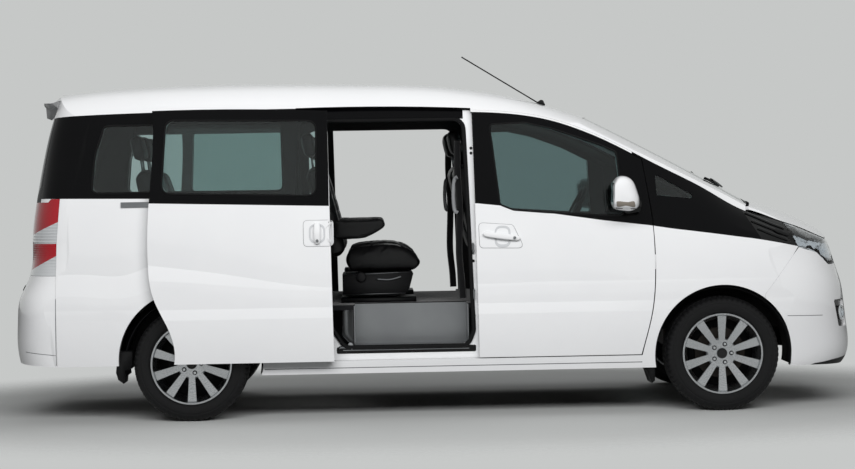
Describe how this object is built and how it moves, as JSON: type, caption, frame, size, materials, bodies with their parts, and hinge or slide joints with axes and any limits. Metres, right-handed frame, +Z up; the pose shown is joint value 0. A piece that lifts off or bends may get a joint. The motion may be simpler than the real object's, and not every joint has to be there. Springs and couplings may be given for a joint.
{
  "type": "passenger van with sliding side doors",
  "caption": "Full-size white passenger van with hinged front doors, open sliding side doors, tailgate, steered front wheels and a seated cabin.",
  "frame": {"origin": "on the ground, under the middle of the van's length and width", "axes": "+X forward, +Y to the van's left, +Z up"},
  "size_m": [5.2503, 2.294, 2.1844],
  "materials": {
    "paint": "clear-coated white paint",
    "black_gloss": "gloss black",
    "glass": "tinted",
    "clear_lens": "clear moulded",
    "red_lens": "red and clear moulded",
    "steel": "black chassis paint",
    "rubber": "matt",
    "tyre": "matt",
    "alloy": "machined and lacquered",
    "leather": "black grained",
    "trim": "grained dark",
    "iron": "cast",
    "exhaust": "dull",
    "floor": "white primer and grey carpet"
  },
  "bodies": {
    "body": {"antenna": "black_gloss", "captain_seats": "leather", "cowl": "trim", "dashboard": "trim", "engine_block": "iron", "exhaust_system": "exhaust", "fixed_side_glass": "glass", "fog_lamps": "clear_lens", "front_bumper": "paint", "front_fenders": "paint", "front_seats": "leather", "front_subframe": "steel", "fuel_tank": "steel", "gill_vents": "black_gloss", "grille": "black_gloss", "headlamps": "clear_lens", "mudflaps": "rubber", "rear_axle": "steel", "rear_bench": "leather", "rear_bumper": "paint", "roof": "paint", "side_frame_left": "paint", "side_frame_right": "paint", "sliding_door_glass": "glass", "sliding_door_runners": "steel", "sliding_doors": "paint", "tail_lamps": "red_lens", "underbody": "floor", "windscreen": "glass"},
    "front_door_right": {"front_door_right": "paint", "door_glass_right": "glass", "door_mirror_right": "paint"},
    "front_door_left": {"front_door_left": "paint", "door_glass_left": "glass", "door_mirror_left": "paint"},
    "bonnet": {"bonnet": "paint"},
    "tailgate": {"tailgate": "paint", "tailgate_glass": "glass"},
    "steering_wheel": {"steering_wheel": "trim"},
    "knuckle_right": {"steering_knuckle_right": "iron"},
    "knuckle_left": {"steering_knuckle_left": "iron"},
    "wheel_front_left": {"wheel_front_left": "alloy", "tyre_front_left": "tyre"},
    "wheel_front_right": {"wheel_front_right": "alloy", "tyre_front_right": "tyre"},
    "wheel_rear_left": {"wheel_rear_left": "alloy", "tyre_rear_left": "tyre"},
    "wheel_rear_right": {"wheel_rear_right": "alloy", "tyre_rear_right": "tyre"}
  },
  "joints": [
    {"name": "front_door_right_hinge", "type": "hinge", "parent": "body", "child": "front_door_right", "pos_m": [1.3075, -0.9554, 0.9], "axis": [0, 0, 1], "range_deg": [0, 65]},
    {"name": "front_door_left_hinge", "type": "hinge", "parent": "body", "child": "front_door_left", "pos_m": [1.3075, 0.9554, 0.9], "axis": [0, 0, -1], "range_deg": [0, 65]},
    {"name": "tailgate_hinge", "type": "hinge", "parent": "body", "child": "tailgate", "pos_m": [-2.35852, 0, 1.861], "axis": [0, 1, 0], "range_deg": [0, 82]},
    {"name": "bonnet_hinge", "type": "hinge", "parent": "body", "child": "bonnet", "pos_m": [1.9141, 0, 1.22811], "axis": [0, -1, 0], "range_deg": [0, 45]},
    {"name": "steer_left", "type": "hinge", "parent": "body", "child": "knuckle_left", "pos_m": [1.7105, 0.762, 0.345], "axis": [0, 0, 1], "range_deg": [-32, 32]},
    {"name": "steer_right", "type": "hinge", "parent": "body", "child": "knuckle_right", "pos_m": [1.7105, -0.762, 0.345], "axis": [0, 0, 1], "range_deg": [-32, 32]},
    {"name": "steering_wheel_turn", "type": "hinge", "parent": "body", "child": "steering_wheel", "pos_m": [0.9505, 0.4, 1.2], "axis": [-0.8829, 0, 0.4695], "range_deg": [-480, 480]},
    {"name": "front_left_spin", "type": "hinge", "parent": "knuckle_left", "child": "wheel_front_left", "pos_m": [1.7105, 0.824, 0.345], "axis": [0, 1, 0], "continuous": true},
    {"name": "front_right_spin", "type": "hinge", "parent": "knuckle_right", "child": "wheel_front_right", "pos_m": [1.7105, -0.824, 0.345], "axis": [0, 1, 0], "continuous": true},
    {"name": "rear_left_spin", "type": "hinge", "parent": "body", "child": "wheel_rear_left", "pos_m": [-1.4895, 0.824, 0.345], "axis": [0, 1, 0], "continuous": true},
    {"name": "rear_right_spin", "type": "hinge", "parent": "body", "child": "wheel_rear_right", "pos_m": [-1.4895, -0.824, 0.345], "axis": [0, 1, 0], "continuous": true}
  ],
  "couplings": [
    {"joint": "steer_right", "follows": "steer_left", "ratio": 1},
    {"joint": "steering_wheel_turn", "follows": "steer_left", "ratio": 15}
  ]
}
